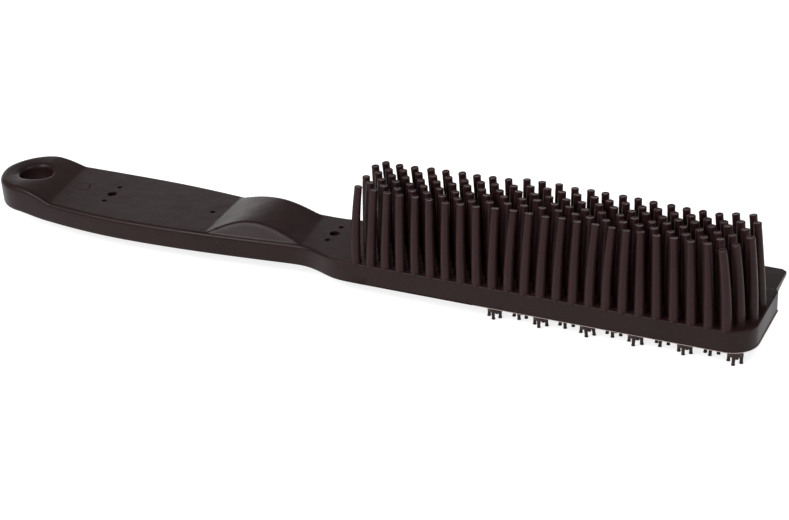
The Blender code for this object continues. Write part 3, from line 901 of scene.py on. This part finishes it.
def rubber(name, tones, rough, bump, speckle):
    """Moulded rubber: faint clouding in tone and gloss, fine grain, a little dust, a painted highlight along
    the lip.
    """
    paint = Paint(name)
    cloud = paint.noise(70, 5, 0.6)
    dust = paint.rescale(paint.noise(1900), (0.66, 0.80), (0.0, speckle))
    dusty = paint.cover(dust, paint.ramp(cloud, tones, 0.3, 0.72), DUST_TONE)
    # the pale band on the lip is a painted highlight, laid over the dusty colour
    paint.give("Base Color", paint.cover(paint.painted_lip_highlight(), dusty, LIP_HIGHLIGHT_TONE))
    paint.give("Roughness", paint.rescale(cloud, (0.3, 0.7), (rough - 0.05, rough + 0.06)))
    paint.give("Normal", paint.relief(bump))
    paint.shader.inputs["Specular IOR Level"].default_value = RUBBER_SHEEN
    return paint.material


def core_material():
    """Matt dark plastic of the stiffening core."""
    paint = Paint("core_stiffener")
    paint.give("Base Color", paint.ramp(paint.noise(300, 4), CORE_TONES))
    paint.shader.inputs["Roughness"].default_value = 0.5
    return paint.material


def paper_material():
    """White paper that glows a little, so that the ground stays close to white."""
    paint = Paint("paper_sweep")
    paint.give("Base Color", paint.ramp(paint.noise(3), PAPER_TONES))
    paint.shader.inputs["Roughness"].default_value = 0.9
    paint.shader.inputs["Specular IOR Level"].default_value = PAPER_SHEEN
    paint.shader.inputs["Emission Color"].default_value = (1, 1, 1, 1)
    paint.shader.inputs["Emission Strength"].default_value = PAPER_GLOW
    return paint.material


# ------------------------------------------------------------------ pieces on the frame


def dress(item, material):
    item.data.materials.clear()
    item.data.materials.append(material)
    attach(item, "root")


body_rubber = rubber("rubber_body", BODY_TONES, rough=0.37, bump=0.35, speckle=0.22)
pin_rubber = rubber("rubber_pins", PIN_TONES, rough=0.36, bump=0.30, speckle=0.16)
stud_rubber = rubber("rubber_studs", STUD_TONES, rough=0.46, bump=0.30, speckle=0.16)

body = make_body()
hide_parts("handle_grip", "head_plate")
dress(body, body_rubber)
for row in range(6):
    dress(make_pin_row(row), pin_rubber)
dress(make_blade(), body_rubber)
nub_rng = random.Random(7)
for node in sorted(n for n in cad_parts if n.startswith("nub_cluster")):
    dress(make_nub(node, nub_rng), stud_rubber)

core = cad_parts["core_spine"]
core.data.materials.clear()
core.data.materials.append(core_material())

# ------------------------------------------------------------------ stage, light, camera

FLOOR_HALF, FLOOR_DROP = 6, 0.0002
SKY_STRENGTH = 0.28

# The camera stands to the right in front of the head and above it, and is turned a little
CAMERA_AZIMUTH, CAMERA_ELEVATION, CAMERA_ROLL = 27.924, 27.747, -3.654
CAMERA_DISTANCE, CAMERA_RIGHT, CAMERA_UP = 0.51918, 0.01192, 0.00052
CAMERA_LENS, CAMERA_SENSOR, CAMERA_CLIP = 76.45, 36, 0.01
AIM_INSET = 0.0015


def make_floor():
    bm = bmesh.new()
    bmesh.ops.create_grid(bm, x_segments=8, y_segments=8, size=FLOOR_HALF)
    mesh = bpy.data.meshes.new("floor")
    bm.to_mesh(mesh)
    bm.free()
    mesh.materials.append(paper_material())
    item = bpy.data.objects.new("floor", mesh)
    bpy.context.scene.collection.objects.link(item)
    item.location.z = -FLOOR_DROP


def area_light(name, place, aim, size, power):
    lamp = bpy.data.lights.new(name, "AREA")
    lamp.shape = "RECTANGLE"
    lamp.size, lamp.size_y = size
    lamp.energy = power
    item = bpy.data.objects.new(name, lamp)
    bpy.context.scene.collection.objects.link(item)
    item.location = place
    way = Vector(aim) - Vector(place)
    item.rotation_euler = way.to_track_quat("-Z", "Y").to_euler()


def make_light():
    world = bpy.data.worlds.new("studio")
    bpy.context.scene.world = world
    world.use_nodes = True
    back = world.node_tree.nodes["Background"]
    back.inputs["Color"].default_value = (1, 1, 1, 1)
    back.inputs["Strength"].default_value = SKY_STRENGTH
    area_light("key", place=(-0.52, -0.74, 0.90), aim=(-0.02, 0, 0), size=(0.55, 0.55), power=12.0)
    area_light("fill", place=(-0.02, -0.62, 0.30), aim=(0.01, 0, 0.01), size=(0.3, 0.2), power=0.4)
    area_light("top", place=(0.48, -0.05, 0.85), aim=(0, 0, 0), size=(0.5, 0.5), power=3.4)
    area_light("rear", place=(-0.95, 1.6, 0.26), aim=(-0.03, 0, 0.02), size=(2.0, 0.42), power=4.6)


def make_camera():
    """Aims a little to the right of the first pin of the near row."""
    azimuth, elevation, roll = map(math.radians, (CAMERA_AZIMUTH, CAMERA_ELEVATION, CAMERA_ROLL))
    across = Vector((math.cos(azimuth), math.sin(azimuth), 0))
    ahead = Vector((-math.sin(azimuth), math.cos(azimuth), 0)) * math.cos(elevation)
    ahead.z = -math.sin(elevation)
    right = across * math.cos(roll) + across.cross(ahead) * math.sin(roll)
    up = right.cross(ahead)
    anchor = Vector((ROW_BOXES[0][0].x + RIB_HALF, NEAR_Y + AIM_INSET, TOP_Z))
    place = anchor - ahead * CAMERA_DISTANCE + right * CAMERA_RIGHT + up * CAMERA_UP
    turn = Matrix((right, up, -ahead)).transposed().to_4x4()
    camera = bpy.data.cameras.new("camera")
    camera.sensor_width = CAMERA_SENSOR
    camera.lens = CAMERA_LENS
    camera.clip_start = CAMERA_CLIP
    item = bpy.data.objects.new("camera", camera)
    bpy.context.scene.collection.objects.link(item)
    item.matrix_world = Matrix.Translation(place) @ turn
    bpy.context.scene.camera = item


make_floor()
make_light()
make_camera()
bpy.context.scene.view_settings.view_transform = "Standard"
